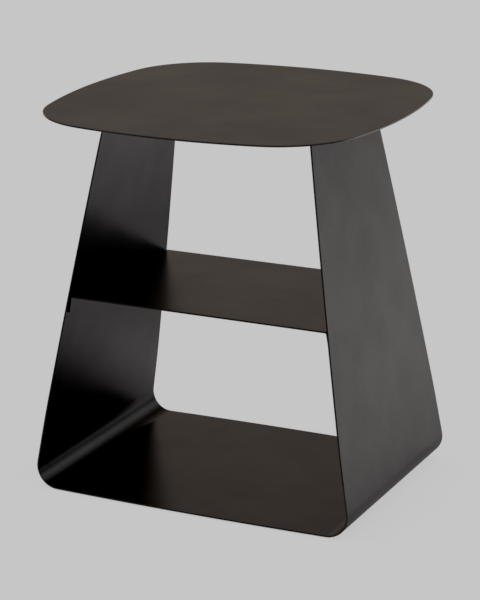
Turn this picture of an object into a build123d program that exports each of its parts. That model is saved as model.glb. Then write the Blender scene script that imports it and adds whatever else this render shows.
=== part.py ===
"""Side table of bent sheet steel: a rounded-square top, a folded base and a middle shelf.

Units are millimetres. The floor is Z = 0, the front is -Y, and the origin is on the floor
under the centre of the table. The base is one sheet: a flat bottom, a wide bend at each
side, two side panels that lean inward and get narrower toward the top, and a small inward
flange at each panel's upper end. The top and the shelf are held by welded studs and nuts.
"""
from build123d import *
import math
import os

# Overall sizes
OVERALL_HEIGHT = 450.0
SHEET = 2.0
GLIDE_THICKNESS = 1.5
BOTTOM_Z = GLIDE_THICKNESS
TOP_UNDERSIDE_Z = OVERALL_HEIGHT - SHEET

# Top plate: four bowed sides that run smoothly into four corner arcs
TOP_WIDTH = 400.0
TOP_SIDE_RADIUS = 573.0
TOP_CORNER_RADIUS = 104.0

# Folded base, seen from the front. The widths are taken where the outer faces of the
# leaning panels meet the level of the bottom's underside and of the top's underside.
BASE_BOTTOM_WIDTH = 404.0
BASE_TOP_WIDTH = 251.0
BOTTOM_BEND_RADIUS = 24.0
FLANGE_BEND_RADIUS = 2.0
TOP_FLANGE_LENGTH = 30.0
TOP_FLANGE_CORNER_RADIUS = 6.0

# Folded base, seen from above and from the side: full depths of the tapering panels
BASE_DEPTH = 299.0
BOTTOM_EDGE_RADIUS = 4300.0
PANEL_FOOT_HEIGHT = 61.5
PANEL_FOOT_DEPTH = 284.8
PANEL_TAPER_HEIGHT = 109.5
PANEL_TAPER_DEPTH = 275.7
PANEL_TOP_DEPTH = 178.6

# Shelf: the heights are those of its upper face, which falls slightly toward the back
SHELF_FRONT_HEIGHT = 231.0
SHELF_SLOPE = 1.5
SHELF_DEPTH = 240.0
SHELF_FLANGE_LENGTH = 20.0
SHELF_BEND_RADIUS = 1.5

# Small openings for the hooks of the coating line
HOOK_HOLE_DIAMETER = 2.5
HOOK_HOLE_X = 137.5
HOOK_HOLE_EDGE_DISTANCE = 2.8
HOOK_NOTCH_Y = -108.0

# Fixings: studs under the top in a row on each flange, and at each end of the shelf
TOP_STUD_X = 108.5
TOP_STUD_STEP = 60.0
TOP_STUD_COUNT = 3
TOP_STUD_LENGTH = 12.0
SHELF_STUD_DROP = 12.0
SHELF_STUD_STEP = 130.0
SHELF_STUD_COUNT = 2
SHELF_STUD_LENGTH = 9.0
WELD_COLLAR_HEIGHT = 0.8
M5 = {"stud": 4.8, "collar": 6.0, "bore": 5.0, "flats": 8.0, "nut": 4.0, "washer": 10.0,
      "washer_bore": 5.3, "washer_thickness": 1.0, "sheet_hole": 7.0, "bevel": 0.4}
M4 = {"stud": 3.8, "collar": 5.0, "bore": 4.0, "flats": 7.0, "nut": 3.2, "washer": 9.0,
      "washer_bore": 4.3, "washer_thickness": 0.8, "sheet_hole": 5.8, "bevel": 0.35}

# Glides: thin round pads under the bottom
GLIDE_DIAMETER = 20.0
GLIDE_X = 145.0
GLIDE_Y = 118.0
GLIDE_EDGE_RADIUS = 0.5

# Values worked out from the sizes above
HALF_DEPTH = BASE_DEPTH / 2
LEAN = math.atan((BASE_BOTTOM_WIDTH - BASE_TOP_WIDTH) / 2 / (TOP_UNDERSIDE_Z - BOTTOM_Z))
FLANGE_TIP_X = BASE_TOP_WIDTH / 2 - TOP_FLANGE_LENGTH
SLOPE = math.radians(SHELF_SLOPE)
SIDES = (-1, 1)
ON_FLOOR = (Align.CENTER, Align.CENTER, Align.MIN)


def evenly_spaced(count, step):
    """Places of a row of equal steps, centred on zero."""
    return [(number - (count - 1) / 2) * step for number in range(count)]


def bottom_half_depth(x):
    """Half depth of the bottom at a distance x from the middle: its edges are long arcs."""
    return HALF_DEPTH - BOTTOM_EDGE_RADIUS + math.sqrt(BOTTOM_EDGE_RADIUS**2 - x**2)


def panel_inner_x(z, inset=0.0):
    """Distance from the middle to a side panel's inner face, or to a plane inset from it."""
    outer_x = BASE_BOTTOM_WIDTH / 2 - (z - BOTTOM_Z) * math.tan(LEAN)
    return outer_x - (SHEET + inset) / math.cos(LEAN)


def shelf_z(y):
    """Height of the shelf's upper face at a place y along its slope."""
    return SHELF_FRONT_HEIGHT - (y + SHELF_DEPTH / 2) * math.tan(SLOPE)


def top_plate():
    """Flat plate with four bowed sides and four tangent corner arcs."""
    half = TOP_WIDTH / 2
    side_centre = half - TOP_SIDE_RADIUS
    reach = TOP_SIDE_RADIUS - TOP_CORNER_RADIUS
    corner_centre = (side_centre + math.sqrt(2 * reach**2 - side_centre**2)) / 2
    join_x = side_centre + TOP_SIDE_RADIUS * (corner_centre - side_centre) / reach
    join_y = TOP_SIDE_RADIUS * corner_centre / reach
    corner_middle = corner_centre + TOP_CORNER_RADIUS / math.sqrt(2)
    side = ThreePointArc((join_x, -join_y), (half, 0), (join_x, join_y))
    corner = ThreePointArc((join_x, join_y), (corner_middle, corner_middle), (join_y, join_x))
    with BuildPart() as plate:
        with BuildSketch(Plane.XY.offset(TOP_UNDERSIDE_Z)):
            with BuildLine():
                for quarter in range(4):
                    add(side.rotate(Axis.Z, 90 * quarter))
                    add(corner.rotate(Axis.Z, 90 * quarter))
            make_face()
        extrude(amount=SHEET)
    return plate.part


def sheet_profile():
    """Face of the bent sheet seen from the front: flanges, leaning panels and bottom."""
    foot_x = BASE_BOTTOM_WIDTH / 2
    head_x = BASE_TOP_WIDTH / 2
    wide_bend = BOTTOM_BEND_RADIUS + SHEET
    tight_bend = FLANGE_BEND_RADIUS + SHEET
    with BuildSketch(Plane.XZ) as profile:
        with BuildLine():
            FilletPolyline(
                (-FLANGE_TIP_X, TOP_UNDERSIDE_Z),
                (-head_x, TOP_UNDERSIDE_Z),
                (-foot_x, BOTTOM_Z),
                (foot_x, BOTTOM_Z),
                (head_x, TOP_UNDERSIDE_Z),
                (FLANGE_TIP_X, TOP_UNDERSIDE_Z),
                radius=(tight_bend, wide_bend, wide_bend, tight_bend),
            )
            offset(amount=SHEET, side=Side.LEFT)
        make_face()
    return profile.sketch


def plan_outline():
    """The bottom's outline from above: straight ends, long arcs at the front and the back."""
    end_x = BASE_BOTTOM_WIDTH / 2
    end_y = bottom_half_depth(end_x)
    with BuildSketch(Plane.XY) as outline:
        with BuildLine():
            ThreePointArc((-end_x, -end_y), (0, -HALF_DEPTH), (end_x, -end_y))
            Line((end_x, -end_y), (end_x, end_y))
            ThreePointArc((end_x, end_y), (0, HALF_DEPTH), (-end_x, end_y))
            Line((-end_x, end_y), (-end_x, -end_y))
        make_face()
    return outline.sketch


def side_outline():
    """A side panel's outline: it leaves the bottom's arcs where the bend ends and tapers."""
    outer_radius = BOTTOM_BEND_RADIUS + SHEET
    middle_radius = BOTTOM_BEND_RADIUS + SHEET / 2
    turn = math.pi / 2 - LEAN
    bend_centre_x = BASE_BOTTOM_WIDTH / 2 - outer_radius / math.tan(turn / 2)
    bend_x = bend_centre_x + middle_radius * math.sin(turn)
    bend_z = BOTTOM_Z + outer_radius - middle_radius * math.cos(turn)
    clear_y = HALF_DEPTH + SHEET
    bend = Vector(bottom_half_depth(bend_x), bend_z)
    foot = Vector(PANEL_FOOT_DEPTH / 2, PANEL_FOOT_HEIGHT)
    taper = Vector(PANEL_TAPER_DEPTH / 2, PANEL_TAPER_HEIGHT)
    head = Vector(PANEL_TOP_DEPTH / 2, TOP_UNDERSIDE_Z - FLANGE_BEND_RADIUS - SHEET)
    flange_y = head.X
    with BuildSketch(Plane.YZ) as outline:
        with BuildLine():
            Polyline((0, BOTTOM_Z), (clear_y, BOTTOM_Z), (clear_y, BOTTOM_Z + SHEET), bend, foot)
            blend = TangentArc(foot, taper, tangent=foot - bend)
            TangentArc(taper, head, tangent=blend % 1)
            Polyline(head, (flange_y, TOP_UNDERSIDE_Z), (0, TOP_UNDERSIDE_Z), (0, BOTTOM_Z))
        make_face()
        mirror(about=Plane.YZ)
    return outline.sketch


def folded_base():
    """One sheet: bottom, two bends, two tapering side panels and the flanges under the top."""
    bent_sheet = extrude(sheet_profile(), amount=HALF_DEPTH + SHEET, both=True)
    seen_from_above = extrude(plan_outline(), amount=OVERALL_HEIGHT)
    seen_from_the_side = extrude(side_outline(), amount=BASE_BOTTOM_WIDTH, both=True)
    with BuildPart() as base:
        add(bent_sheet & seen_from_above & seen_from_the_side)
        upright = base.edges().filter_by(Axis.Z)
        tips = upright.filter_by(lambda edge: abs(abs(edge.center().X) - FLANGE_TIP_X) < SHEET)
        fillet(tips, TOP_FLANGE_CORNER_RADIUS)
        with Locations(*[origin for origin, direction in top_stud_places()]):
            Cylinder(M5["sheet_hole"] / 2, 4 * SHEET, mode=Mode.SUBTRACT)
        hook_y = bottom_half_depth(HOOK_HOLE_X) - HOOK_HOLE_EDGE_DISTANCE
        with Locations(*[(side * HOOK_HOLE_X, hook_y, BOTTOM_Z) for side in SIDES]):
            Cylinder(HOOK_HOLE_DIAMETER / 2, 4 * SHEET, mode=Mode.SUBTRACT)
    return base.part


def shelf_face():
    """Plane of the shelf's upper face, with its origin in the middle of the front edge."""
    return Plane(
        origin=(0, -SHELF_DEPTH / 2, SHELF_FRONT_HEIGHT),
        x_dir=(1, 0, 0),
        z_dir=(0, math.sin(SLOPE), math.cos(SLOPE)),
    )


def shelf_block(inset):
    """Block that fills the space between the panels under the shelf's face, less an inset."""
    low = SHELF_FRONT_HEIGHT - 2 * SHELF_FLANGE_LENGTH
    high = SHELF_FRONT_HEIGHT + SHELF_FLANGE_LENGTH
    low_x = panel_inner_x(low, inset)
    high_x = panel_inner_x(high, inset)
    with BuildPart() as block:
        with BuildSketch(Plane.XZ):
            with BuildLine():
                Polyline((-low_x, low), (low_x, low), (high_x, high), (-high_x, high), close=True)
            make_face()
        extrude(amount=SHELF_DEPTH / 2 + inset, both=True)
        split(bisect_by=shelf_face().offset(-inset), keep=Keep.BOTTOM)
        upper_edges = block.faces().sort_by(Axis.Z)[-1].edges()
        long_edges = upper_edges.filter_by(lambda edge: abs(edge.center().X) > high_x)
        fillet(long_edges, SHELF_BEND_RADIUS + SHEET - inset)
    return block.part


def shelf():
    """Flat sheet whose ends are bent down and lie flat on the side panels' inner faces."""
    notch_z = shelf_z(HOOK_NOTCH_Y) - SHELF_FLANGE_LENGTH
    with BuildPart() as sheet:
        add(shelf_block(0.0))
        add(shelf_block(SHEET), mode=Mode.SUBTRACT)
        split(bisect_by=shelf_face().offset(-SHELF_FLANGE_LENGTH), keep=Keep.TOP)
        for origin, direction in shelf_stud_places():
            with Locations(Plane(origin=origin, z_dir=direction)):
                Cylinder(M4["sheet_hole"] / 2, 4 * SHEET, mode=Mode.SUBTRACT)
        with Locations(Plane(origin=(0, HOOK_NOTCH_Y, notch_z), z_dir=(1, 0, 0))):
            Cylinder(HOOK_HOLE_DIAMETER / 2, BASE_BOTTOM_WIDTH, mode=Mode.SUBTRACT)
    return sheet.part


def top_stud_places():
    """Foot and direction of each stud under the top: a row in the middle of each flange."""
    row = evenly_spaced(TOP_STUD_COUNT, TOP_STUD_STEP)
    return [((side * TOP_STUD_X, y, TOP_UNDERSIDE_Z), (0, 0, -1)) for side in SIDES for y in row]


def shelf_stud_places():
    """Foot and direction of each shelf stud, square to a side panel's inner face."""
    places = []
    for side in SIDES:
        for y in evenly_spaced(SHELF_STUD_COUNT, SHELF_STUD_STEP):
            z = shelf_z(y) - SHELF_STUD_DROP
            inward = (-side * math.cos(LEAN), 0, -math.sin(LEAN))
            places.append(((side * panel_inner_x(z), y, z), inward))
    return places


def stud(size, length):
    """Weld stud standing on Z = 0: a low weld collar and a plain shank with a bevelled tip."""
    with BuildPart() as shape:
        Cylinder(size["stud"] / 2, length, align=ON_FLOOR)
        tip = shape.edges().filter_by(GeomType.CIRCLE).sort_by(Axis.Z)[-1]
        chamfer(tip, size["bevel"])
        Cylinder(size["collar"] / 2, WELD_COLLAR_HEIGHT, align=ON_FLOOR)
    return shape.part


def washer(size):
    """Flat washer standing on Z = 0."""
    with BuildPart() as shape:
        Cylinder(size["washer"] / 2, size["washer_thickness"], align=ON_FLOOR)
        Cylinder(size["washer_bore"] / 2, size["washer_thickness"], align=ON_FLOOR,
                 mode=Mode.SUBTRACT)
    return shape.part


def hex_nut(size):
    """Hexagon nut standing on Z = 0, with its corners bevelled at both ends."""
    corner_radius = size["flats"] / 2 / math.cos(math.radians(30))
    with BuildPart() as shape:
        Cylinder(corner_radius, size["nut"], align=ON_FLOOR)
        chamfer(shape.edges().filter_by(GeomType.CIRCLE), size["bevel"])
        with BuildSketch():
            RegularPolygon(corner_radius, 6)
        extrude(amount=size["nut"], mode=Mode.INTERSECT)
        Cylinder(size["bore"] / 2, size["nut"], align=ON_FLOOR, mode=Mode.SUBTRACT)
    return shape.part


def group(shape, places, distance=0.0):
    """Copies of a fixing, one on each place, moved along the place's direction."""
    copies = []
    for origin, direction in places:
        start = Vector(*origin) + Vector(*direction) * distance
        copies.append(Plane(origin=start, z_dir=direction) * shape)
    return Compound(children=copies)


def glide(side_x, side_y):
    """Thin round pad with a softened lower rim, under one corner of the bottom."""
    with BuildPart() as pad:
        with Locations((side_x * GLIDE_X, side_y * GLIDE_Y, 0)):
            Cylinder(GLIDE_DIAMETER / 2, GLIDE_THICKNESS, align=ON_FLOOR)
        lower_rim = pad.edges().filter_by(GeomType.CIRCLE).sort_by(Axis.Z)[0]
        fillet(lower_rim, GLIDE_EDGE_RADIUS)
    return pad.part


def all_parts():
    """Every node of the table by name."""
    parts = {"top_plate": top_plate(), "folded_base": folded_base(), "shelf": shelf()}
    fixings = (
        ("top", M5, top_stud_places(), TOP_STUD_LENGTH),
        ("shelf", M4, shelf_stud_places(), SHELF_STUD_LENGTH),
    )
    for name, size, places, length in fixings:
        parts[name + "_studs"] = group(stud(size, length), places)
        parts[name + "_washers"] = group(washer(size), places, SHEET)
        parts[name + "_nuts"] = group(hex_nut(size), places, SHEET + size["washer_thickness"])
    for end, side_y in (("front", -1), ("back", 1)):
        for hand, side_x in (("left", -1), ("right", 1)):
            parts[f"{end}_{hand}_glide"] = glide(side_x, side_y)
    return parts


os.makedirs("parts", exist_ok=True)
for node, shape in all_parts().items():
    export_step(shape, f"parts/{node}.step")
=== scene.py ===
import math

import bpy
from mathutils import Matrix, Vector


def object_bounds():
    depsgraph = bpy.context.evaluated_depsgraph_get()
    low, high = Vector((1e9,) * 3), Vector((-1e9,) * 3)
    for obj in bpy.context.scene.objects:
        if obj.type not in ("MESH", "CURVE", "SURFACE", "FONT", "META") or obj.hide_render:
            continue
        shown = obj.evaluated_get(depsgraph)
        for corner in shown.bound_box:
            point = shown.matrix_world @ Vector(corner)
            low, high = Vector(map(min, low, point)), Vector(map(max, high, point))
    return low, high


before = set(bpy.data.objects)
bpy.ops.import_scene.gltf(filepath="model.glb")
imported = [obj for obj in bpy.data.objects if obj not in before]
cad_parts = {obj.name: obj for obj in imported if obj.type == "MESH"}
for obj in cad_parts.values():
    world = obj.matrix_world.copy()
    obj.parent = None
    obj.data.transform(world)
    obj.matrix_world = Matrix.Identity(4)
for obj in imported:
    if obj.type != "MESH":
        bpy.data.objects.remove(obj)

CAD_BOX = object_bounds()
MM = 0.001
FLAT_SHEETS = ("top_plate",)
BENT_SHEETS = ("folded_base", "shelf")
FIXINGS = ("top_studs", "top_washers", "top_nuts", "shelf_studs", "shelf_washers", "shelf_nuts")
GLIDES = tuple(name for name in sorted(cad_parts) if name.endswith("_glide"))

# Lengths are in metres and angles in degrees.

# Camera: a long lens, in millimetres, that looks a little down on the table's front and right
# side. The azimuth turns from the front toward the right. The aim lies this far to the right of
# the centre of the table's box and above it.
CAMERA_AZIMUTH = 25.72
CAMERA_ELEVATION = 16.87
CAMERA_DISTANCE = 2.765
CAMERA_LENS = 142.8
CAMERA_ROLL = -0.35
CAMERA_AIM_OFFSET = (-2.3 * MM, -11.5 * MM)

# Rounding of the sheets' sharp edges. Corners closer than SAME_CORNER are one corner, and
# neighbouring faces within SAME_FACE_ANGLE are one flat face.
EDGE_ROUNDING = 0.4 * MM
EDGE_SEGMENTS = 3
SHARP_ANGLE = 40
SAME_CORNER = 0.001 * MM
SAME_FACE_ANGLE = 0.3

# Surface noises as (cells per metre, levels of detail), and the middle ranges of their values
COAT_CLOUD = (9.0, 2.0)
COAT_WAVE = (14.0, 1.0)
COAT_PATCH = (22.0, 3.0)
COAT_WEAR = (60.0, 3.0)
COAT_SPECK = (520.0, 1.0)
COAT_GRAIN = (1400.0, 2.0)
ZINC_CLOUD = (300.0, 3.0)
RUBBER_GRAIN = (900.0, 2.0)
MIDDLE = (0.3, 0.7)
WEAR_MIDDLE = (0.2, 0.7)
SPECK_MIDDLE = (0.2, 0.8)

# Bumps as (strength, depth)
COAT_WAVE_BUMP = (0.15, 0.2 * MM)
COAT_GRAIN_BUMP = (0.1, 0.05 * MM)
RUBBER_GRAIN_BUMP = (0.3, 0.1 * MM)

# Colours are red, green, blue and 1 for opaque.
BLACK = (0.0, 0.0, 0.0, 1.0)
WHITE = (1.0, 1.0, 1.0, 1.0)

# Looks as (where the noise is low, where it is high)
COAT_COLORS = ((0.001, 0.0009, 0.0008, 1.0), (0.0016, 0.0013, 0.0012, 1.0))
COAT_ROUGHNESS = (0.27, 0.31)
COAT_SPECK_SHEEN = (0.36, 0.50)
COAT_PATCH_SHEEN = (0.0, 0.10)
COAT_WEAR_SHARE = (0.6, 1.0)
ZINC_COLORS = ((0.5, 0.5, 0.5, 1.0), (0.7, 0.7, 0.68, 1.0))
ZINC_ROUGHNESS = (0.3, 0.45)
RUBBER_COLORS = ((0.02, 0.02, 0.02, 1.0), (0.035, 0.035, 0.035, 1.0))
RUBBER_ROUGHNESS = 0.8

# Refractive index of the coat. It is raised on the sheets' cut edges, partly as wear and partly as a
# painted highlight that makes the edges reflect brighter. On the flat sheet the upright part of the
# surface normal tells an edge (low) from a face (high). On the bent ones the normal's part along Y
# tells a face (low) from an edge (high).
COAT_IOR = 1.5
FLAT_SHEET_EDGE_IOR = 2.3
BENT_SHEET_EDGE_IOR = 1.7
FLAT_SHEET_NORMAL = (0.3, 0.7)
BENT_SHEET_NORMAL = (0.4, 0.8)

# Studio light from all round. "turn" is the angle from +X over the top, seen along the table's
# depth, and each light is a soft band that falls to about a third at its width. The lights fill
# a ring around the +Y and the -Y direction, and the plain ambient light fills the rest. The
# angles of the ring are counted from +Y or -Y.
STUDIO_LIGHTS = (
    {"turn": 38, "width": 21, "color": (0.66, 0.63, 0.63, 1.0)},
    {"turn": 145, "width": 40, "color": (0.33, 0.278, 0.242, 1.0)},
)
RING_FADE_IN = (14, 22)
RING_FADE_OUT = (52, 68)
AMBIENT = (0.30, 0.29, 0.28, 1.0)

# Tone of the floor and the backdrop that the camera sees, and the floor's faint contact shadow
BACKDROP = 0.5669
FLOOR_SIZE = 40.0
CONTACT_REACH = 0.12
CONTACT_SHADOW = 0.08
CONTACT_SAMPLES = 32

# Glow of the floor, which reflections see in place of the even tone that the camera sees. It is
# a styling, like an unevenly lit floor. It fades in four places: in a dim patch behind the
# table, in front of the table, around the table's foot and far away. The dim patch and the glow
# as a whole are soft bumps that fall to about a third at their reach.
FLOOR_GLOW = (0.92, 0.865, 0.86)
DIM_PATCH_CENTRE = (0.02, 0.90)
DIM_PATCH_REACH = (0.28, 1.30)
DIM_PATCH_DEPTH = 0.78
FAR_REACH = 12.0

# The front fade runs from full glow at FRONT_FADE_START down to FRONT_GLOW at FRONT_FADE_END.
# Both are places on Y at the table's middle, and lie FRONT_SLANT farther back per metre to the
# side. The foot fade runs from FOOT_GLOW at the foot's rectangle up to full glow at FOOT_FADE.
FRONT_FADE_START = -0.05
FRONT_FADE_END = -0.60
FRONT_GLOW = 0.10
FRONT_SLANT = 0.55
FOOT_HALF_SIZE = (0.16, 0.14)
FOOT_FADE = 0.15
FOOT_GLOW = 0.3

# Share of the light that is kept after two or more reflections, and the level under which a
# tone is shown as black. Both are stylings that keep the table's inside dark.
SECOND_BOUNCE = 0.5
BLACK_LEVEL = 0.004


class Nodes:
    """Short way to build a material's or the world's node tree."""

    def __init__(self, tree):
        self.tree = tree
        tree.nodes.clear()

    def add(self, kind, inputs=None, **settings):
        node = self.tree.nodes.new(kind)
        for key, value in settings.items():
            setattr(node, key, value)
        for key, value in (inputs or {}).items():
            self.put(node.inputs[key], value)
        return node

    def put(self, socket, value):
        if isinstance(value, bpy.types.NodeSocket):
            self.tree.links.new(value, socket)
        else:
            socket.default_value = value

    def math(self, operation, *values):
        node = self.add("ShaderNodeMath", operation=operation)
        for socket, value in zip(node.inputs, values):
            self.put(socket, value)
        return node.outputs[0]

    def product(self, first, *others):
        for other in others:
            first = self.math("MULTIPLY", first, other)
        return first

    def parts(self, vector):
        return self.add("ShaderNodeSeparateXYZ", {"Vector": vector}).outputs

    def noise(self, place, kind):
        scale, detail = kind
        node = self.add("ShaderNodeTexNoise", {"Vector": place, "Scale": scale, "Detail": detail})
        return node.outputs["Fac"]

    def ramp(self, value, span, ends=(0.0, 1.0)):
        """Smooth step of a value over a span, from the first end value to the second."""
        sockets = {"From Min": span[0], "From Max": span[1], "To Min": ends[0], "To Max": ends[1]}
        node = self.add("ShaderNodeMapRange", sockets, interpolation_type="SMOOTHSTEP")
        self.put(node.inputs["Value"], value)
        return node.outputs[0]

    def bell(self, value, centre, width):
        """Soft bump of height 1 around a centre."""
        offset = self.math("DIVIDE", self.math("SUBTRACT", value, centre), width)
        return self.math("EXPONENT", self.product(offset, offset, -1.0))

    def mix(self, share, first, second, blend_type="MIX"):
        node = self.add("ShaderNodeMix", data_type="RGBA", blend_type=blend_type)
        self.put(node.inputs["Factor"], share)
        self.put(node.inputs["A"], first)
        self.put(node.inputs["B"], second)
        return node.outputs["Result"]

    def bump(self, height, kind, under=None):
        """Surface normal with bumps, on top of the bumps under them if there are any."""
        strength, depth = kind
        node = self.add("ShaderNodeBump", {"Height": height, "Strength": strength, "Distance": depth})
        if under is not None:
            self.put(node.inputs["Normal"], under)
        return node.outputs[0]


def new_material(name):
    material = bpy.data.materials.new(name)
    material.use_nodes = True
    nodes = Nodes(material.node_tree)
    place = nodes.add("ShaderNodeTexCoord").outputs["Object"]
    return material, nodes, place


def finish_material(nodes, shader):
    nodes.add("ShaderNodeOutputMaterial", {"Surface": shader.outputs[0]})


def flat_sheet_edges(nodes):
    """1 on the cut edges of a level sheet, which face sideways, and 0 on its faces."""
    facing = nodes.parts(nodes.add("ShaderNodeNewGeometry").outputs["Normal"])
    return nodes.ramp(nodes.math("ABSOLUTE", facing["Z"]), FLAT_SHEET_NORMAL, (1.0, 0.0))


def bent_sheet_edges(nodes):
    """1 on the front and back edges of a sheet that is bent about lines along Y, 0 on its faces."""
    facing = nodes.parts(nodes.add("ShaderNodeNewGeometry").outputs["Normal"])
    return nodes.ramp(nodes.math("ABSOLUTE", facing["Y"]), BENT_SHEET_NORMAL)


def powder_coat(name, find_edges, edge_ior):
    """Dark satin coat, shinier at the sheet's cut edges: partly wear, partly a painted highlight."""
    material, nodes, place = new_material(name)
    rubbed = nodes.ramp(nodes.noise(place, COAT_WEAR), WEAR_MIDDLE, COAT_WEAR_SHARE)
    # Painted highlight: the cut edges get a higher refractive index so that they reflect brighter,
    # varied along them by the wear noise.
    wear_and_highlight = nodes.product(find_edges(nodes), rubbed)
    cloud = nodes.noise(place, COAT_CLOUD)
    wave = nodes.bump(nodes.noise(place, COAT_WAVE), COAT_WAVE_BUMP)
    grain = nodes.bump(nodes.noise(place, COAT_GRAIN), COAT_GRAIN_BUMP, wave)
    speck_sheen = nodes.ramp(nodes.noise(place, COAT_SPECK), SPECK_MIDDLE, COAT_SPECK_SHEEN)
    patch_sheen = nodes.ramp(nodes.noise(place, COAT_PATCH), MIDDLE, COAT_PATCH_SHEEN)
    shader = nodes.add(
        "ShaderNodeBsdfPrincipled",
        {
            "Base Color": nodes.mix(cloud, *COAT_COLORS),
            "Roughness": nodes.ramp(cloud, MIDDLE, COAT_ROUGHNESS),
            "IOR": nodes.ramp(wear_and_highlight, (0.0, 1.0), (COAT_IOR, edge_ior)),
            "Specular IOR Level": nodes.math("ADD", speck_sheen, patch_sheen),
            "Normal": grain,
        },
    )
    finish_material(nodes, shader)
    return material


def zinc():
    material, nodes, place = new_material("zinc_plate")
    cloud = nodes.noise(place, ZINC_CLOUD)
    shader = nodes.add(
        "ShaderNodeBsdfPrincipled",
        {
            "Base Color": nodes.mix(cloud, *ZINC_COLORS),
            "Metallic": 1.0,
            "Roughness": nodes.ramp(cloud, MIDDLE, ZINC_ROUGHNESS),
        },
    )
    finish_material(nodes, shader)
    return material


def rubber():
    material, nodes, place = new_material("glide_rubber")
    grain = nodes.noise(place, RUBBER_GRAIN)
    shader = nodes.add(
        "ShaderNodeBsdfPrincipled",
        {
            "Base Color": nodes.mix(grain, *RUBBER_COLORS),
            "Roughness": RUBBER_ROUGHNESS,
            "Normal": nodes.bump(grain, RUBBER_GRAIN_BUMP),
        },
    )
    finish_material(nodes, shader)
    return material


def dress(names, material):
    for name in names:
        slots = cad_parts[name].data.materials
        slots.clear()
        slots.append(material)


def round_edges(name):
    """Rounds a sheet's sharp edges, after its flat faces have been made whole again."""
    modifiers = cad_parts[name].modifiers
    weld = modifiers.new("weld", "WELD")
    weld.merge_threshold = SAME_CORNER
    whole = modifiers.new("whole_faces", "DECIMATE")
    whole.decimate_type = "DISSOLVE"
    whole.angle_limit = math.radians(SAME_FACE_ANGLE)
    bevel = modifiers.new("round_edges", "BEVEL")
    bevel.width = EDGE_ROUNDING
    bevel.segments = EDGE_SEGMENTS
    bevel.limit_method = "ANGLE"
    bevel.angle_limit = math.radians(SHARP_ANGLE)
    bevel.loop_slide = False
    bevel.use_clamp_overlap = False
    modifiers.new("even_normals", "WEIGHTED_NORMAL")


def kept_light(nodes):
    """All of the light up to the first reflection, and a smaller share from the second on."""
    depth = nodes.add("ShaderNodeLightPath").outputs["Glossy Depth"]
    return nodes.ramp(depth, (1.0, 2.0), (1.0, SECOND_BOUNCE))


def in_radians(angles):
    return [math.radians(angle) for angle in angles]


def ring_share(nodes, y):
    """1 in the ring of the studio lights around the front and the back direction, 0 off it."""
    swing = nodes.math("ARCCOSINE", nodes.math("MINIMUM", nodes.math("ABSOLUTE", y), 1.0))
    return nodes.product(
        nodes.ramp(swing, in_radians(RING_FADE_IN)),
        nodes.ramp(swing, in_radians(RING_FADE_OUT), (1.0, 0.0)),
    )


def make_world():
    """Studio light for the surfaces, and a plain backdrop for the camera."""
    world = bpy.data.worlds.new("studio")
    world.use_nodes = True
    bpy.context.scene.world = world
    nodes = Nodes(world.node_tree)
    x, y, z = nodes.parts(nodes.add("ShaderNodeTexCoord").outputs["Generated"])
    turn = nodes.math("ARCTAN2", z, x)
    lights = BLACK
    for light in STUDIO_LIGHTS:
        strength = nodes.bell(turn, *in_radians((light["turn"], light["width"])))
        lights = nodes.mix(1.0, lights, nodes.mix(strength, BLACK, light["color"]), "ADD")
    all_round = nodes.mix(ring_share(nodes, y), AMBIENT, lights)
    all_round = nodes.mix(kept_light(nodes), BLACK, all_round)
    is_camera = nodes.add("ShaderNodeLightPath").outputs["Is Camera Ray"]
    shown = nodes.mix(is_camera, all_round, (BACKDROP, BACKDROP, BACKDROP, 1.0))
    background = nodes.add("ShaderNodeBackground", {"Color": shown})
    nodes.add("ShaderNodeOutputWorld", {"Surface": background.outputs[0]})


def foot_distance(nodes, x, y):
    """Distance on the floor from the rectangle under the table's foot."""
    squares = []
    for value, half_size in zip((x, y), FOOT_HALF_SIZE):
        beyond = nodes.math("SUBTRACT", nodes.math("ABSOLUTE", value), half_size)
        gap = nodes.math("MAXIMUM", beyond, 0.0)
        squares.append(nodes.product(gap, gap))
    return nodes.math("SQRT", nodes.math("ADD", *squares))


def floor_glow(nodes, place):
    """Share of the floor's glow that is left at a place on it."""
    x, y = nodes.parts(place)[:2]
    across = nodes.bell(x, DIM_PATCH_CENTRE[0], DIM_PATCH_REACH[0])
    along = nodes.bell(y, DIM_PATCH_CENTRE[1], DIM_PATCH_REACH[1])
    off_patch = nodes.math("SUBTRACT", 1.0, nodes.product(across, along, DIM_PATCH_DEPTH))
    slant = nodes.product(nodes.math("ABSOLUTE", x), FRONT_SLANT)
    behind_slant = nodes.math("SUBTRACT", y, slant)
    off_front = nodes.ramp(behind_slant, (FRONT_FADE_END, FRONT_FADE_START), (FRONT_GLOW, 1.0))
    distance = nodes.add("ShaderNodeVectorMath", {"Vector": place}, operation="LENGTH")
    near = nodes.bell(distance.outputs["Value"], 0.0, FAR_REACH)
    off_foot = nodes.ramp(foot_distance(nodes, x, y), (0.0, FOOT_FADE), (FOOT_GLOW, 1.0))
    return nodes.product(off_patch, off_front, near, off_foot, kept_light(nodes))


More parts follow.
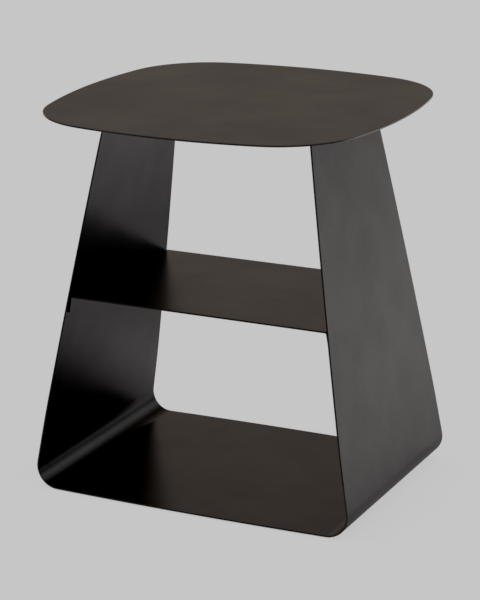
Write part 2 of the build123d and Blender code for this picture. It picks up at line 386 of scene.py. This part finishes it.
def make_floor():
    """Pale floor. The camera sees it even, with a faint contact shadow, and reflections see its
    glow. From below it is clear. It gives the table no diffuse light and casts no shadow."""
    bpy.ops.mesh.primitive_plane_add(size=FLOOR_SIZE)
    floor = bpy.context.object
    floor.name = "floor"
    material, nodes, place = new_material("floor_paint")
    occlusion = nodes.add(
        "ShaderNodeAmbientOcclusion", {"Distance": CONTACT_REACH}, samples=CONTACT_SAMPLES
    )
    open_share = occlusion.outputs["AO"]
    shade = nodes.ramp(open_share, (0.0, 1.0), (1.0 - CONTACT_SHADOW, 1.0))
    seen = nodes.mix(nodes.product(shade, BACKDROP), BLACK, WHITE)
    glow = nodes.add("ShaderNodeVectorMath", operation="SCALE")
    nodes.put(glow.inputs[0], FLOOR_GLOW)
    nodes.put(glow.inputs["Scale"], floor_glow(nodes, place))
    is_camera = nodes.add("ShaderNodeLightPath").outputs["Is Camera Ray"]
    shown = nodes.mix(is_camera, glow.outputs["Vector"], seen)
    paint = nodes.add("ShaderNodeEmission", {"Color": shown})
    clear = nodes.add("ShaderNodeBsdfTransparent")
    from_below = nodes.add("ShaderNodeNewGeometry").outputs["Backfacing"]
    shader = nodes.add("ShaderNodeMixShader", {"Fac": from_below})
    nodes.put(shader.inputs[1], paint.outputs[0])
    nodes.put(shader.inputs[2], clear.outputs[0])
    finish_material(nodes, shader)
    floor.data.materials.append(material)
    floor.visible_diffuse = False
    floor.visible_shadow = False


def set_print_look():
    """Plain view of the light, with the deepest blacks closed as in a print."""
    view = bpy.context.scene.view_settings
    view.view_transform = "Standard"
    view.use_curve_mapping = True
    view.curve_mapping.black_level = (BLACK_LEVEL,) * 3
    view.curve_mapping.update()


def make_camera():
    low, high = (Vector(corner) for corner in CAD_BOX)
    centre = (low + high) / 2
    azimuth = math.radians(CAMERA_AZIMUTH)
    elevation = math.radians(CAMERA_ELEVATION)
    toward_camera = Vector(
        (
            math.sin(azimuth) * math.cos(elevation),
            -math.cos(azimuth) * math.cos(elevation),
            math.sin(elevation),
        )
    )
    to_the_right = Vector((math.cos(azimuth), math.sin(azimuth), 0))
    place = centre + toward_camera * CAMERA_DISTANCE
    aim = centre + to_the_right * CAMERA_AIM_OFFSET[0] + Vector((0, 0, CAMERA_AIM_OFFSET[1]))
    data = bpy.data.cameras.new("camera")
    data.lens = CAMERA_LENS
    camera = bpy.data.objects.new("camera", data)
    bpy.context.scene.collection.objects.link(camera)
    look = (aim - place).to_track_quat("-Z", "Y").to_matrix().to_4x4()
    roll = Matrix.Rotation(math.radians(CAMERA_ROLL), 4, "Z")
    camera.matrix_world = Matrix.Translation(place) @ look @ roll
    bpy.context.scene.camera = camera


set_print_look()
dress(FLAT_SHEETS, powder_coat("powder_coat_top", flat_sheet_edges, FLAT_SHEET_EDGE_IOR))
dress(BENT_SHEETS, powder_coat("powder_coat_frame", bent_sheet_edges, BENT_SHEET_EDGE_IOR))
dress(FIXINGS, zinc())
dress(GLIDES, rubber())
for sheet_name in FLAT_SHEETS + BENT_SHEETS:
    round_edges(sheet_name)
make_world()
make_floor()
make_camera()
